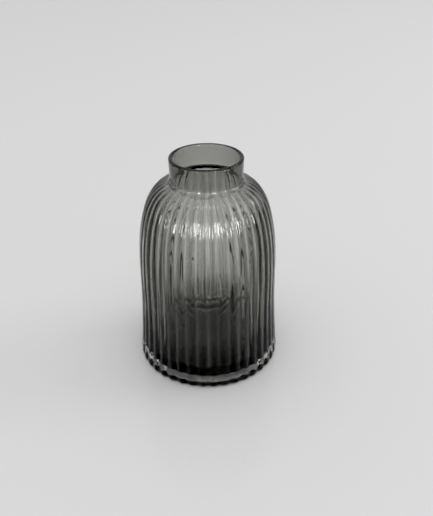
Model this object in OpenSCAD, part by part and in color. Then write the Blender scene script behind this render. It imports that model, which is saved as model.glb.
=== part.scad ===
// Glass bud vase: a reeded body with round shoulders, a foot that stands on a thick ring of
// glass, and a plain round collar.
// The origin is the middle of the foot, on the surface that the vase stands on, and +Z is up.

/* [Overall] */
// Height from the table to the rim
vase_h = 120; // [110:1:135]
// Radius over the reeds at the foot, where the vase is widest
foot_r = 40; // [38:0.5:44]

/* [Body] */
// Radius over the reeds at the waist, where the shoulder begins
waist_r = 37.7; // [35:0.1:38]
// Height of the waist
waist_z = 51; // [40:1:60]
// Height from the waist to where the shoulder curve would lie flat
shoulder_h = 56.7; // [52:0.1:60]
// How late the shoulder turns inward: 2 is an ellipse, and more stays upright for longer
shoulder_rise = 2.4; // [2:0.1:3]
// How square the shoulder's corner is: 2 is an ellipse
shoulder_corner = 5; // [3:0.1:6]
// Thickness of the wall, from the bottom of a groove to the inside
wall = 2; // [1.8:0.1:3]
// Thickness at the top of the shoulder, which the wall thins to
shoulder_wall = 1.3; // [1.2:0.1:2]

/* [Reeds] */
// Number of upright reeds round the body: a multiple of 4 keeps all four sides alike
reed_count = 40; // [32:4:48]
// Depth of the grooves between the reeds on the body
reed_depth = 1.1; // [0.6:0.1:1.4]
// Width of the smooth band round the collar that the grooves stop short of
reed_margin = 2.2; // [1:0.1:3]
// Distance over which the grooves come to their full depth
reed_fade = 5; // [3:0.5:8]

/* [Foot] */
// Height of the floor inside
floor_t = 7; // [6:0.5:9]
// Size of the rounding round the bottom edge
heel = 2.2; // [1.5:0.1:3]
// Size of the rounding inside, where the wall meets the floor
inner_heel = 7; // [5:0.5:10]
// Inner radius of the ring that the vase stands on
ring_r = 31.6; // [28:0.2:33]
// Depth of the hollow inside that ring
ring_h = 3; // [1:0.5:4]
// How far the side of the hollow leans in
ring_run = 2; // [1:0.5:4]

/* [Collar] */
// Inner radius of the mouth
mouth_r = 17.3; // [14:0.1:17.5]
// Thickness of the collar and of its rounded rim
collar_wall = 2.1; // [1.6:0.1:2.4]
// How much wider the collar is at its rim than at its root
collar_flare = 0.35; // [0:0.05:0.6]
// Size of the rounding where the mouth opens into the body
throat = 0.9; // [0.5:0.1:0.9]

/* [Hidden] */
$fn = 160;

glass_colour = [0.33, 0.34, 0.32, 0.6];
collar_r = mouth_r + collar_wall;
// The shoulder meets the collar where its curve has come in to this radius
collar_root_r = collar_r - collar_flare;
collar_z = shoulder_z(collar_root_r);
// Each reed is drawn with this many facets
facets_per_reed = 4;
reed_facets = reed_count * facets_per_reed;
foot_rings = 8;
body_rings = 24;
// Points along the inside of the body, round its heel and round its throat
inside_steps = 24;
heel_steps = 8;
throat_steps = 6;
// Height over which the slope of the outside is measured
slope_step = 0.01;
// Height that the cut for the inside runs past the body's ends
overrun = 1;

// Radius over the reeds at a height
function crest_r(z) =
    z < heel ? foot_r - heel + sqrt(heel * heel - pow(heel - z, 2))
    : z < waist_z ? foot_r - (foot_r - waist_r) * ease((z - heel) / (waist_z - heel))
    : waist_r * pow(1 - pow((z - waist_z) / shoulder_h, shoulder_rise), 1 / shoulder_corner);

// Height at which the shoulder has come in to a radius
function shoulder_z(r) = waist_z + shoulder_h * pow(1 - pow(r / waist_r, shoulder_corner), 1 / shoulder_rise);

// A curve from 0 to 1 that starts steep and ends level
function ease(t) = 2 * t - t * t;

// The grooves get shallower as the shoulder comes in, and fade out before the collar
function groove_depth(z) =
    let (fade = (crest_r(z) - collar_root_r - reed_margin) / reed_fade)
    reed_depth * pow(crest_r(z) / foot_r, 2) * ease(max(0, min(1, fade)));

// Thickness of the glass under the grooves at a height
function wall_at(z) = wall - (wall - shoulder_wall) * pow(max(0, (z - waist_z) / shoulder_h), 3);

// Radius of the outside at a height and an angle: round reeds with a sharp groove between them
function outside_r(z, angle) =
    crest_r(z) - groove_depth(z) * (1 - abs(sin(reed_count * angle / 2)));

// How fast the outside widens with height
function outside_slope(z) = (crest_r(z + slope_step) - crest_r(z - slope_step)) / (2 * slope_step);

// The point of the inside that lies squarely behind the outside at a height
function inside_point(z) =
    let (
        slope = outside_slope(z),
        length = sqrt(1 + slope * slope),
        thickness = wall_at(z) + groove_depth(z)
    )
    [crest_r(z) - thickness / length, z + thickness * slope / length];

// A point on a curve that leaves one point and reaches another, bending round a corner
function bend(from, corner, to, t) = (1 - t) * (1 - t) * from + 2 * t * (1 - t) * corner + t * t * to;

// A solid with the reeded outside between two heights
module reeded_solid(heights) {
    rings = len(heights);
    points = [
        for (z = heights)
            for (i = [0 : reed_facets - 1])
                let (angle = 360 * i / reed_facets, r = outside_r(z, angle))
                [r * cos(angle), r * sin(angle), z]
    ];
    sides = [
        for (k = [0 : rings - 2])
            for (i = [0 : reed_facets - 1])
                let (j = (i + 1) % reed_facets, low = k * reed_facets, high = low + reed_facets)
                each [[low + i, high + i, high + j], [low + i, high + j, low + j]]
    ];
    bottom = [[for (i = [0 : reed_facets - 1]) i]];
    top = [[for (i = [reed_facets - 1 : -1 : 0]) (rings - 1) * reed_facets + i]];
    polyhedron(points, concat(sides, bottom, top), convexity = 8);
}

// The foot: the floor, on a thick ring with a rounded edge and a shallow hollow inside it
module foot() {
    heel_rings = foot_rings - 2;
    heel_heights = [for (i = [0 : heel_rings]) heel * (1 - cos(90 * i / heel_rings))];
    color(glass_colour)
        difference() {
            reeded_solid(concat(heel_heights, [floor_t]));
            rotate_extrude()
                polygon([[0, -overrun], [ring_r, -overrun], [ring_r, 0], [ring_r - ring_run, ring_h], [0, ring_h]]);
        }
}

// The body: the reeded wall and shoulder, open at both ends
module body() {
    rise = collar_z - floor_t;
    inside_foot = inside_point(floor_t + inner_heel);
    // The inside follows the shoulder in to where the throat starts
    throat_out = inside_point(shoulder_z(mouth_r + throat));
    throat_corner = [mouth_r, inside_point(shoulder_z(mouth_r))[1]];
    inside_rise = shoulder_z(mouth_r + throat) - floor_t - inner_heel;
    // The rings crowd together towards the collar, where the shoulder turns over
    heights = [for (i = [0 : body_rings]) floor_t + rise * sin(90 * i / body_rings)];
    inside_outline = concat(
        [[0, floor_t - overrun], [inside_foot[0] - inner_heel, floor_t - overrun]],
        [
            for (i = [0 : heel_steps])
                let (a = 90 * i / heel_steps)
                inside_foot + inner_heel * [sin(a) - 1, -cos(a)]
        ],
        [for (i = [1 : inside_steps]) inside_point(floor_t + inner_heel + inside_rise * sin(90 * i / inside_steps))],
        [
            for (i = [1 : throat_steps])
                bend(throat_out, throat_corner, throat_corner + [0, throat], i / throat_steps)
        ],
        [[mouth_r, collar_z + overrun], [0, collar_z + overrun]]
    );
    color(glass_colour)
        difference() {
            reeded_solid(heights);
            rotate_extrude()
                polygon(inside_outline);
        }
}

// The collar: a plain ring that widens a little to its rounded rim
module collar() {
    rim_r = collar_wall / 2;
    color(glass_colour)
        rotate_extrude()
            union() {
                polygon([
                    [mouth_r, collar_z], [collar_root_r, collar_z],
                    [collar_r, vase_h - rim_r], [mouth_r, vase_h - rim_r]
                ]);
                translate([mouth_r + rim_r, vase_h - rim_r])
                    circle(r = rim_r);
            }
}

foot();
body();
collar();
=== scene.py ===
"""A reeded bud vase of smoky grey glass, on a plain pale table in soft light.

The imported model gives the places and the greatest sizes. One clear skin of glass, inside and out,
replaces the three zones of the CAD model. A smoky layer in that glass, next to the hollow, gives
the grey. It ends above the ring that the vase stands on, which is left clear.
"""
import logging
import math
from dataclasses import dataclass, field
from enum import Enum

import bmesh
import bpy
from mathutils import Euler, Matrix, Vector, noise


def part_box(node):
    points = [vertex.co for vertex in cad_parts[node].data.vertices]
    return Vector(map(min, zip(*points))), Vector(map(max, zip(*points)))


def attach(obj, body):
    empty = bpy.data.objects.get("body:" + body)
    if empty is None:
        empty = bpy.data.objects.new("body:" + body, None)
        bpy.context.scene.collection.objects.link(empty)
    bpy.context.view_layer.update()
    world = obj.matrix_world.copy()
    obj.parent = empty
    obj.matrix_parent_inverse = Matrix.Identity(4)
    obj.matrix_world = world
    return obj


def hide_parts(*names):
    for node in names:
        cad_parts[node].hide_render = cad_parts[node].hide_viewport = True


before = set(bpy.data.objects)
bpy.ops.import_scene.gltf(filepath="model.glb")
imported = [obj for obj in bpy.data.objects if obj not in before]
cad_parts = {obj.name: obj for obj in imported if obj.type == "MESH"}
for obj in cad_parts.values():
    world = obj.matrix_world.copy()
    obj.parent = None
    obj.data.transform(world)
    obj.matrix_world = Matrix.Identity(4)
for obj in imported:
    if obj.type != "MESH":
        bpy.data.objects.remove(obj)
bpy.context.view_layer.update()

MM = 0.001
WHITE = (1.0, 1.0, 1.0, 1.0)

log = logging.getLogger("vase")


class Zone(Enum):
    """The zones of the glass, by the names of their CAD nodes."""

    FOOT = "foot"
    BODY = "body"
    COLLAR = "collar"


class Sock:
    """A shader socket that Python's operators can work with."""

    def __init__(self, tree: "Nodes", socket: bpy.types.NodeSocket) -> None:
        """Keep the socket and the tree that new nodes go into.

        Args:
            tree: The nodes being built.
            socket: The output socket to wrap.
        """
        self.tree = tree
        self.socket = socket

    def _math(self, operation: str, first: object, second: object) -> "Sock":
        """Add a Math node.

        Args:
            operation: The node's operation.
            first: The first operand, a number or a Sock.
            second: The second operand, a number or a Sock.

        Returns:
            The node's result.
        """
        return self.tree.add("ShaderNodeMath", {"operation": operation}, {0: first, 1: second})

    def __mul__(self, other: object) -> "Sock":
        """Return the product."""
        return self._math("MULTIPLY", self, other)

    __rmul__ = __mul__


class Nodes:
    """A node tree, built one call at a time."""

    def __init__(self, tree: bpy.types.NodeTree) -> None:
        """Start with an empty tree.

        Args:
            tree: The tree to clear and fill.
        """
        self.tree = tree
        self.tree.nodes.clear()

    def add(self, kind: str, settings: dict | None = None, inputs: dict | None = None,
            output: str | int | None = 0) -> Sock | None:
        """Add any node.

        Args:
            kind: The node's type.
            settings: Values of the node's own properties, which are set first.
            inputs: Values or links of its sockets, by name or number.
            output: The output to return, or None where the node has none.

        Returns:
            The chosen output.
        """
        node = self.tree.nodes.new(kind)
        for key, value in (settings or {}).items():
            setattr(node, key, value)
        for key, value in (inputs or {}).items():
            if isinstance(value, Sock):
                self.tree.links.new(value.socket, node.inputs[key])
            else:
                node.inputs[key].default_value = value
        return None if output is None else Sock(self, node.outputs[output])


def new_material(name: str) -> tuple[bpy.types.Material, Nodes]:
    """Start a material.

    Args:
        name: The material's name.

    Returns:
        The material, and its empty node tree.
    """
    material = bpy.data.materials.new(name)
    material.use_nodes = True
    return material, Nodes(material.node_tree)


def see_through(nodes: Nodes, ior: float, roughness: Sock | float, tint: tuple, density: float) -> None:
    """Finish a material that light passes through, and loses strength in.

    Args:
        nodes: The material's nodes.
        ior: How strongly its surface bends light.
        roughness: How much its surface scatters light.
        tint: The colour that it gives light.
        density: How strongly it takes light away.
    """
    surface = nodes.add("ShaderNodeBsdfPrincipled", inputs={
        "Base Color": WHITE,
        "Transmission Weight": 1.0,
        "IOR": ior,
        "Roughness": roughness,
    })
    volume = nodes.add("ShaderNodeVolumeAbsorption", inputs={"Color": tint, "Density": density})
    nodes.add("ShaderNodeOutputMaterial", inputs={"Surface": surface, "Volume": volume}, output=None)


@dataclass(frozen=True)
class ClearGlass:
    """Clear glass with a breath of green and the faint unevenness of a moulded surface."""

    tint: tuple = (0.50, 0.53, 0.48, 1.0)
    density: float = 45.0
    ior: float = 1.5
    smear: float = 0.015
    smear_scale: float = 45.0

    def material(self) -> bpy.types.Material:
        """Build the glass.

        Returns:
            The material.
        """
        material, nodes = new_material("clear_glass")
        place = nodes.add("ShaderNodeTexCoord", output="Object")
        smears = nodes.add("ShaderNodeTexNoise", inputs={"Vector": place, "Scale": self.smear_scale})
        see_through(nodes, self.ior, smears * self.smear, self.tint, self.density)
        return material


@dataclass(frozen=True)
class Smoke:
    """The grey in the glass, which darkens with depth and has no surface of its own to bend light."""

    tint: tuple = (0.50, 0.50, 0.47, 1.0)
    density: float = 2000.0
    ior: float = 1.0

    def material(self) -> bpy.types.Material:
        """Build the grey.

        Returns:
            The material.
        """
        material, nodes = new_material("smoke")
        see_through(nodes, self.ior, 0.0, self.tint, self.density)
        return material


@dataclass(frozen=True)
class TableTop:
    """A pale matt table with a faint gloss, which shows a soft reflection of the vase."""

    colour: tuple = (0.70, 0.70, 0.705, 1.0)
    gloss: float = 0.035
    roughness: float = 0.20

    def material(self) -> bpy.types.Material:
        """Build the lacquer.

        Returns:
            The material.
        """
        material, nodes = new_material("pale_lacquer")
        matt = nodes.add("ShaderNodeBsdfDiffuse", inputs={"Color": self.colour})
        shine = nodes.add("ShaderNodeBsdfGlossy", inputs={"Color": WHITE, "Roughness": self.roughness})
        surface = nodes.add("ShaderNodeMixShader", inputs={0: self.gloss, 1: matt, 2: shine})
        nodes.add("ShaderNodeOutputMaterial", inputs={"Surface": surface}, output=None)
        return material


@dataclass(frozen=True)
class Spot:
    """One point of a section, with what the mould does to it round the vase."""

    place: Vector
    cut: Vector = Vector((0.0, 0.0, 0.0))
    ripple: float = 0.0
    streak: float = 0.0


def round_corner(before: Vector, corner: Vector, after: Vector, reach: float, steps: int) -> list[Vector]:
    """Round the corner between two straight runs.

    Args:
        before: A point on the first run.
        corner: Where the runs meet.
        after: A point on the second run.
        reach: How far from the corner the rounding starts.
        steps: How many pieces the rounding has.

    Returns:
        The points of the rounding.
    """
    start = corner + (before - corner).normalized() * reach
    end = corner + (after - corner).normalized() * reach
    points = []
    for i in range(steps + 1):
        t = i / steps
        points.append(start * (1 - t) ** 2 + corner * 2 * t * (1 - t) + end * t * t)
    return points


def arc(centre: Vector, size: float, start: float, end: float, steps: int) -> list[Vector]:
    """Follow part of a circle.

    Args:
        centre: The middle of the circle.
        size: Its radius.
        start: The angle where the part starts, in degrees, which isn't among the points.
        end: The angle where it ends, which is the last of them.
        steps: How many points there are.

    Returns:
        The points.
    """
    points = []
    for i in range(1, steps + 1):
        angle = math.radians(start + (end - start) * i / steps)
        points.append(centre + Vector((math.cos(angle), 0.0, math.sin(angle))) * size)
    return points


def straight(start: Vector, end: Vector, steps: int) -> list[Vector]:
    """Divide a straight run.

    Args:
        start: Where it starts, which isn't among the points.
        end: Where it ends, which is the last of them.
        steps: How many points there are.

    Returns:
        The points.
    """
    return [start.lerp(end, i / steps) for i in range(1, steps + 1)]


def ramp(stops: tuple, at: float) -> float:
    """Read a value off a line through a few stops.

    Args:
        stops: Pairs of place and value, in order of place.
        at: The place to read.

    Returns:
        The value there.
    """
    last = stops[0]
    for stop in stops[1:]:
        if at <= stop[0]:
            t = max(0.0, (at - last[0]) / (stop[0] - last[0]))
            return last[1] + (stop[1] - last[1]) * t
        last = stop
    return last[1]


def uneven(place: Vector, scale: tuple) -> float:
    """Read a smooth unevenness at a place.

    Args:
        place: The place.
        scale: How fast it changes across and up the vase.

    Returns:
        A number between about -1 and 1.
    """
    wide, tall = scale
    return noise.noise(Vector((place.x * wide, place.y * wide, place.z * tall)))


@dataclass
class Outline:
    """The shape of the glass in section, in metres."""

    reeds: int = 40
    reed_depth: float = 1.1 * MM
    reed_fade: float = 5.0 * MM
    reed_margin: float = 2.2 * MM
    waist_r: float = 37.7 * MM
    waist_z: float = 51.0 * MM
    shoulder_h: float = 56.7 * MM
    shoulder_rise: float = 2.4
    shoulder_corner: float = 5.0
    wall: float = 2.0 * MM
    shoulder_wall: float = 1.3 * MM
    heel: float = 2.5 * MM
    inner_heel: float = 7.0 * MM
    inner_reed: float = 0.45 * MM
    ring_r: float = 31.6 * MM
    ring_run: float = 2.0 * MM
    ring_h: float = 3.0 * MM
    dome_h: float = 0.1 * MM
    collar_wall: float = 2.1 * MM
    fillet: float = 2.2 * MM
    throat: float = 1.8 * MM
    flare: float = 0.35 * MM
    dome_round: float = 0.6 * MM
    ring_round: float = 0.5 * MM
    heel_cut: float = 0.55
    ring_ripple: float = 0.5
    throat_share: float = 0.98
    floor_steps: int = 12
    edge_steps: int = 4
    arc_steps: int = 12
    heel_steps: int = 9
    wall_steps: int = 90
    collar_steps: int = 8
    mouth_steps: int = 6
    inside_steps: int = 70
    foot_r: float = field(init=False)
    floor_z: float = field(init=False)
    collar_r: float = field(init=False)
    top_z: float = field(init=False)

    def __post_init__(self) -> None:
        """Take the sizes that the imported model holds."""
        foot_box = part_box(Zone.FOOT.value)
        collar_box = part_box(Zone.COLLAR.value)
        self.foot_r = foot_box[1][0] / math.cos(math.pi / self.reeds)
        self.floor_z = foot_box[1][2]
        self.collar_r = collar_box[1][0]
        self.top_z = collar_box[1][2]

    @property
    def mouth_r(self) -> float:
        """Return the radius of the mouth."""
        return self.collar_r - self.collar_wall

    @property
    def root_r(self) -> float:
        """Return the outer radius where the collar meets the shoulder."""
        return self.collar_r - self.flare

    def crest_r(self, z: float) -> float:
        """Return the radius over the reeds at a height, above the rounded bottom edge.

        Args:
            z: The height.

        Returns:
            The radius.
        """
        if z < self.waist_z:
            t = (z - self.heel) / (self.waist_z - self.heel)
            return self.foot_r - (self.foot_r - self.waist_r) * (2 * t - t * t)
        rise = ((z - self.waist_z) / self.shoulder_h) ** self.shoulder_rise
        return self.waist_r * (1 - rise) ** (1 / self.shoulder_corner)

    def shoulder_z(self, r: float) -> float:
        """Return the height at which the shoulder has come in to a radius.

        Args:
            r: The radius.

        Returns:
            The height.
        """
        level = 1 - (r / self.waist_r) ** self.shoulder_corner
        return self.waist_z + self.shoulder_h * level ** (1 / self.shoulder_rise)

    def groove_depth(self, r: float) -> float:
        """Return how deep the grooves are where the outside has a radius.

        Args:
            r: The radius over the reeds.

        Returns:
            The depth, which fades to nothing at the collar.
        """
        fade = min(1.0, max(0.0, (r - self.root_r - self.reed_margin) / self.reed_fade))
        return self.reed_depth * (r / self.foot_r) ** 2 * fade * (2 - fade)

    def wall_thickness(self, z: float) -> float:
        """Return how thick the glass is under the grooves at a height.

        Args:
            z: The height.

        Returns:
            The thickness.
        """
        rise = min(1.0, max(0.0, (z - self.waist_z) / self.shoulder_h))
        return self.wall + (self.shoulder_wall - self.wall) * rise ** 3

    def normal(self, z: float) -> Vector:
        """Return the outward direction of the outside at a height.

        Args:
            z: The height.

        Returns:
            A unit vector in the plane of the section.
        """
        step = 0.01 * MM
        slope = (self.crest_r(z + step) - self.crest_r(z - step)) / (2 * step)
        return Vector((1.0, 0.0, -slope)).normalized()

    def foot(self) -> list[Spot]:
        """Work out the hollow underneath, the ring that it stands on and the bottom edge.

        Returns:
            The spots, from the middle outward.
        """
        middle = Vector((0.0, 0.0, self.ring_h + self.dome_h))
        dome_edge = Vector((self.ring_r - self.ring_run, 0.0, self.ring_h))
        ring_edge = Vector((self.ring_r, 0.0, 0.0))
        heel_edge = Vector((self.foot_r - self.heel, 0.0, 0.0))
        points = [middle] + straight(middle, dome_edge, self.floor_steps)[:-1]
        points += round_corner(middle, dome_edge, ring_edge, self.dome_round, self.edge_steps)
        points += round_corner(dome_edge, ring_edge, heel_edge, self.ring_round, self.edge_steps)
        spots = []
        for point in points:
            near_ring = point.x > self.ring_r / 2
            spots.append(Spot(point, ripple=self.ring_ripple if near_ring else 0.0))
        centre = heel_edge + Vector((0.0, 0.0, self.heel))
        for point in [heel_edge] + arc(centre, self.heel, -90.0, 0.0, self.heel_steps):
            out = (point.x - centre.x) / self.heel
            depth = self.reed_depth * (self.heel_cut + (1 - self.heel_cut) * out)
            spots.append(Spot(point, Vector((depth, 0.0, 0.0))))
        return spots

    def wall_outside(self) -> list[Spot]:
        """Work out the reeded wall and shoulder, up to the rounding under the collar.

        Returns:
            The spots, from the foot up.
        """
        spots = []
        rise = self.shoulder_z(self.root_r + self.fillet) - self.heel
        for i in range(1, self.wall_steps):
            z = self.heel + rise * math.sin(math.pi / 2 * i / self.wall_steps)
            r = self.crest_r(z)
            spots.append(Spot(Vector((r, 0.0, z)), self.normal(z) * self.groove_depth(r)))
        return spots

    def collar_outside(self) -> list[Spot]:
        """Work out the rounding under the collar and its outside.

        Returns:
            The spots, from the shoulder up to the rim.
        """
        edge = self.root_r + self.fillet
        corner = Vector((self.root_r, 0.0, self.shoulder_z(self.root_r)))
        top = Vector((self.collar_r, 0.0, self.top_z - self.collar_wall / 2))
        before = Vector((edge, 0.0, self.shoulder_z(edge)))
        points = round_corner(before, corner, top, self.fillet, self.collar_steps)
        points += straight(points[-1], top, self.collar_steps)
        return [Spot(point) for point in points]

    def rim(self) -> list[Spot]:
        """Work out the rounded rim.

        Returns:
            The spots, from the outside over to the mouth.
        """
        half = self.collar_wall / 2
        centre = Vector((self.collar_r - half, 0.0, self.top_z - half))
        return [Spot(point) for point in arc(centre, half, 0.0, 180.0, self.arc_steps)]

    def inside(self) -> list[Spot]:
        """Work out the inside, from the rim down to the middle of the floor.

        Returns:
            The spots, in order.
        """
        top = Vector((self.mouth_r, 0.0, self.top_z - self.collar_wall / 2))
        start = self.floor_z + self.inner_heel
        rise = self.shoulder_z(self.mouth_r) - start
        body = []
        for i in range(1, self.inside_steps + 1):
            z = start + rise * math.sin(math.pi / 2 * (1 - i / self.inside_steps))
            r = self.crest_r(z)
            thickness = self.wall_thickness(z) + self.groove_depth(r)
            place = Vector((r, 0.0, z)) - self.normal(z) * thickness
            if place.x > self.mouth_r + self.throat * self.throat_share:
                depth = self.inner_reed * min(1.0, self.groove_depth(r) / self.reed_depth)
                body.append(Spot(place, Vector((depth, 0.0, 0.0)), 1.0))
        first = body[0].place
        slope = (first.z - body[1].place.z) / (body[1].place.x - first.x)
        corner = Vector((self.mouth_r, 0.0, first.z + slope * (first.x - self.mouth_r)))
        throat = round_corner(top, corner, first, self.throat, self.collar_steps)
        spots = [Spot(point) for point in straight(top, throat[0], self.mouth_steps) + throat[1:-1]] + body
        centre = Vector((body[-1].place.x - self.inner_heel, 0.0, start))
        cut = body[-1].cut
        for i, point in enumerate(arc(centre, self.inner_heel, 0.0, -90.0, self.arc_steps), 1):
            fade = 1 - i / self.arc_steps
            spots.append(Spot(point, cut * fade, fade))
        middle = Vector((0.0, 0.0, self.floor_z))
        spots += [Spot(point) for point in straight(spots[-1].place, middle, self.collar_steps)]
        return spots


@dataclass(frozen=True)
class Mould:
    """The mould, which spins a section and presses reeds, ripple and streaks into it."""

    reeds: int
    steps_per_reed: int = 8
    ripple: float = 0.12 * MM
    ripple_scale: tuple = (110.0, 45.0)
    fine_ripple: float = 0.11 * MM
    fine_scale: tuple = (260.0, 60.0)
    streak_scale: tuple = (14.0, 14.0)
    still_r: float = 1.0 * MM

    def skin(self, name: str, section: list[Spot], material: bpy.types.Material) -> bpy.types.Object:
        """Spin a section into a closed skin.

        Args:
            name: The piece's name.
            section: The section, from the axis round to the axis.
            material: What it is made of.

        Returns:
            The finished piece.
        """
        mesh = bmesh.new()
        cut = mesh.verts.layers.float_vector.new("cut")
        hand = mesh.verts.layers.float_vector.new("hand")
        previous = None
        for spot in section:
            vert = mesh.verts.new(spot.place)
            vert[cut] = spot.cut
            vert[hand] = Vector((spot.ripple, spot.streak, 0.0))
            if previous is not None:
                mesh.edges.new((previous, vert))
            previous = vert
        bmesh.ops.spin(
            mesh, geom=mesh.verts[:] + mesh.edges[:], cent=(0.0, 0.0, 0.0), axis=(0.0, 0.0, 1.0),
            angle=2 * math.pi, steps=self.reeds * self.steps_per_reed, use_merge=True,
        )
        bmesh.ops.remove_doubles(mesh, verts=mesh.verts, dist=0.001 * MM)
        bmesh.ops.recalc_face_normals(mesh, faces=mesh.faces)
        for vert in mesh.verts:
            self.press(vert, vert[cut], vert[hand])
        for note in ("cut", "hand"):
            mesh.verts.layers.float_vector.remove(mesh.verts.layers.float_vector[note])
        data = bpy.data.meshes.new(name)
        mesh.to_mesh(data)
        mesh.free()
        data.shade_smooth()
        data.materials.append(material)
        piece = bpy.data.objects.new(name, data)
        bpy.context.scene.collection.objects.link(piece)
        return piece

    def press(self, vert: bmesh.types.BMVert, cut: Vector, hand: Vector) -> None:
        """Move one point in to its groove, or with the unevenness of the glass.

        Args:
            vert: The point.
            cut: How far and which way a groove cuts here.
            hand: How much of the ripple the point has, and how far streaks move it.
        """
        r = math.hypot(vert.co.x, vert.co.y)
        if r < self.still_r:
            return
        angle = math.atan2(vert.co.y, vert.co.x)
        depth = 1 - abs(math.sin(self.reeds * angle / 2))
        shift = -depth * cut.x
        if hand.x:
            shift += hand.x * self.ripple * uneven(vert.co, self.ripple_scale)
            shift += hand.x * self.fine_ripple * uneven(vert.co, self.fine_scale)
        if hand.y:
            way = Vector((math.cos(angle), math.sin(angle), vert.co.z))
            shift += hand.y * uneven(way, self.streak_scale)
        scale = (r + shift) / r
        vert.co = Vector((vert.co.x * scale, vert.co.y * scale, vert.co.z - depth * cut.z))


@dataclass
class Vase:
    """The vase: a clear skin of glass, and the smoky layer in it next to the hollow."""

    outline: Outline
    mould: Mould
    glass: ClearGlass
    smoke: Smoke
    gap: float = 0.08 * MM
    # How thick the layer is (the second number, in mm) at a height (the first, in mm)
    layer: tuple = (
        (0.0, 1.25), (7.5, 1.3), (9.5, 1.6), (12.5, 2.1), (18.0, 1.85), (27.0, 0.76), (35.0, 0.56),
        (45.0, 0.46), (60.0, 0.50), (75.0, 0.54), (100.0, 0.43), (107.0, 0.45), (110.0, 0.90),
        (120.0, 0.86),
    )
    layer_reed: float = 0.8
    layer_streak: float = 0.55

    def build_glass(self) -> bpy.types.Object:
        """Spin the glass.

        Returns:
            The finished piece.
        """
        shape = self.outline
        outside = shape.foot() + shape.wall_outside() + shape.collar_outside()
        section = outside + shape.rim() + shape.inside()
        return self.mould.skin("vase_glass", section, self.glass.material())

    def build_layer(self) -> bpy.types.Object:
        """Spin the smoky layer, from over the rim down to the middle of the floor.

        Returns:
            The finished piece.
        """
        path = self.outline.rim() + self.outline.inside()
        near = []
        far = []
        for index, spot in enumerate(path):
            before = path[max(0, index - 1)].place
            after = path[min(len(path) - 1, index + 1)].place
            run = (after - before).normalized()
            into_glass = Vector((-run.z, 0.0, run.x))
            thick = ramp(self.layer, spot.place.z / MM) * MM
            near_place = spot.place + into_glass * self.gap
            far_place = spot.place + into_glass * (self.gap + thick)
            if after == spot.place:
                near_place.x = 0.0
                far_place.x = 0.0
            near.append(Spot(near_place, spot.cut, spot.ripple))
            far_cut = spot.cut + Vector((self.layer_reed * thick * spot.ripple, 0.0, 0.0))
            far.append(Spot(far_place, far_cut, spot.ripple, self.layer_streak * thick * spot.ripple))
        section = list(reversed(near)) + far
        return self.mould.skin("smoky_layer", section, self.smoke.material())


@dataclass(frozen=True)
class Lamp:
    """A soft lamp that faces the vase."""

    name: str
    at: tuple
    size: tuple
    power: float
    spares_table: bool = True
    aim: tuple = (0.0, 0.0, 0.06)

    def hang(self, vase: bpy.types.Collection) -> None:
        """Hang the lamp.

        Args:
            vase: What a lamp that spares the table lights.
        """
        data = bpy.data.lights.new(self.name, "AREA")
        data.shape = "RECTANGLE"
        data.size, data.size_y = self.size
        data.energy = self.power
        lamp = bpy.data.objects.new(self.name, data)
        lamp.location = self.at
        lamp.rotation_euler = (Vector(self.aim) - Vector(self.at)).to_track_quat("-Z", "Y").to_euler()
        lamp.visible_camera = False
        if self.spares_table:
            lamp.light_linking.receiver_collection = vase
        bpy.context.scene.collection.objects.link(lamp)


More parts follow.
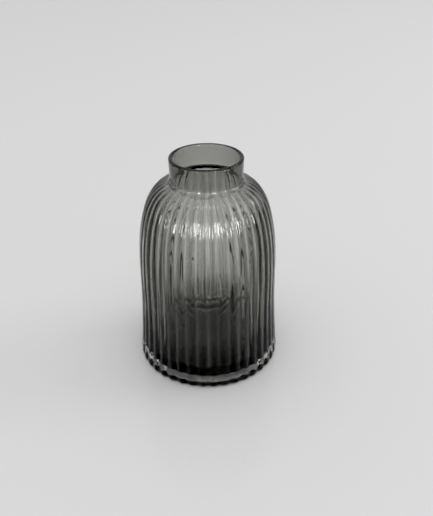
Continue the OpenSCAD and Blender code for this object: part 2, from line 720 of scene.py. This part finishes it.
@dataclass
class Studio:
    """The table, the light and the camera."""

    table_size: float = 4.0
    camera_at: tuple = (4.88 * MM, -302.2 * MM, 239.1 * MM)
    pitch: float = 30.69
    roll: float = -0.43
    lens: float = 29.41
    low_light: float = 0.46
    high_light: float = 1.10
    black_level: float = 0.027
    bounces: int = 40
    glossy_bounces: int = 16
    lamps: tuple = (
        Lamp("left_window", (-0.55, -1.50, 0.40), (0.26, 0.44), 6.0),
        Lamp("right_window", (0.62, -1.48, 0.40), (0.26, 0.44), 6.0),
        Lamp("left_side_window", (-1.30, -0.95, 0.40), (0.16, 0.40), 2.6),
        Lamp("right_side_window", (1.35, -0.90, 0.40), (0.20, 0.40), 4.0),
        Lamp("right_wall", (1.70, 0.30, 0.80), (1.00, 1.00), 7.0, False),
        Lamp("bright_wall", (0.0, -1.70, 0.46), (3.00, 0.75), 11.0),
        Lamp("ceiling_lamp", (0.0, -0.45, 1.50), (0.60, 0.20), 1.5, False),
    )

    def develop(self) -> None:
        """Set the tones, and let light bounce long enough to find its way out of thick glass."""
        scene = bpy.context.scene
        scene.view_settings.view_transform = "Standard"
        scene.view_settings.use_curve_mapping = True
        scene.view_settings.curve_mapping.black_level = [self.black_level] * 3
        scene.view_settings.curve_mapping.update()
        scene.cycles.max_bounces = self.bounces
        scene.cycles.transmission_bounces = self.bounces
        scene.cycles.glossy_bounces = self.glossy_bounces

    def table(self) -> None:
        """Lay the table under the vase."""
        mesh = bmesh.new()
        bmesh.ops.create_grid(mesh, x_segments=1, y_segments=1, size=self.table_size / 2)
        data = bpy.data.meshes.new("table")
        mesh.to_mesh(data)
        mesh.free()
        data.materials.append(TableTop().material())
        table = bpy.data.objects.new("table", data)
        bpy.context.scene.collection.objects.link(table)

    def light(self, pieces: list[bpy.types.Object]) -> None:
        """Fill the room with soft light, brighter overhead, and hang the lamps.

        Args:
            pieces: The pieces of the vase.
        """
        world = bpy.data.worlds.new("room")
        world.use_nodes = True
        nodes = Nodes(world.node_tree)
        way = nodes.add("ShaderNodeTexCoord", output="Generated")
        up = nodes.add("ShaderNodeSeparateXYZ", inputs={0: way}, output=2)
        bright = nodes.add("ShaderNodeMapRange", inputs={
            0: up, 1: 0.0, 2: 1.0, 3: self.low_light, 4: self.high_light,
        })
        room = nodes.add("ShaderNodeBackground", inputs={"Color": WHITE, "Strength": bright})
        nodes.add("ShaderNodeOutputWorld", inputs={"Surface": room}, output=None)
        bpy.context.scene.world = world
        vase = bpy.data.collections.new("lit_by_windows")
        for piece in pieces:
            vase.objects.link(piece)
        for lamp in self.lamps:
            lamp.hang(vase)

    def camera(self) -> None:
        """Set the camera."""
        data = bpy.data.cameras.new("camera")
        data.sensor_fit = "VERTICAL"
        data.sensor_height = 24.0
        data.lens = self.lens
        camera = bpy.data.objects.new("camera", data)
        turn = Euler((math.radians(90 - self.pitch), 0.0, 0.0)).to_matrix()
        turn = turn @ Matrix.Rotation(math.radians(self.roll), 3, "Z")
        camera.matrix_world = Matrix.Translation(self.camera_at) @ turn.to_4x4()
        bpy.context.scene.collection.objects.link(camera)
        bpy.context.scene.camera = camera


def main() -> None:
    """Build the vase and its studio, and report each piece."""
    logging.basicConfig(level=logging.INFO, format="%(message)s")
    outline = Outline()
    vase = Vase(outline, Mould(outline.reeds), ClearGlass(), Smoke())
    glass = vase.build_glass()
    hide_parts(Zone.FOOT.value, Zone.BODY.value, Zone.COLLAR.value)
    pieces = [glass, vase.build_layer()]
    for piece in pieces:
        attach(piece, "root")
        log.info("%s: %d faces", piece.name, len(piece.data.polygons))
    studio = Studio()
    studio.table()
    studio.light(pieces)
    studio.camera()
    studio.develop()
    bpy.context.view_layer.update()


if __name__ == "__main__":
    main()
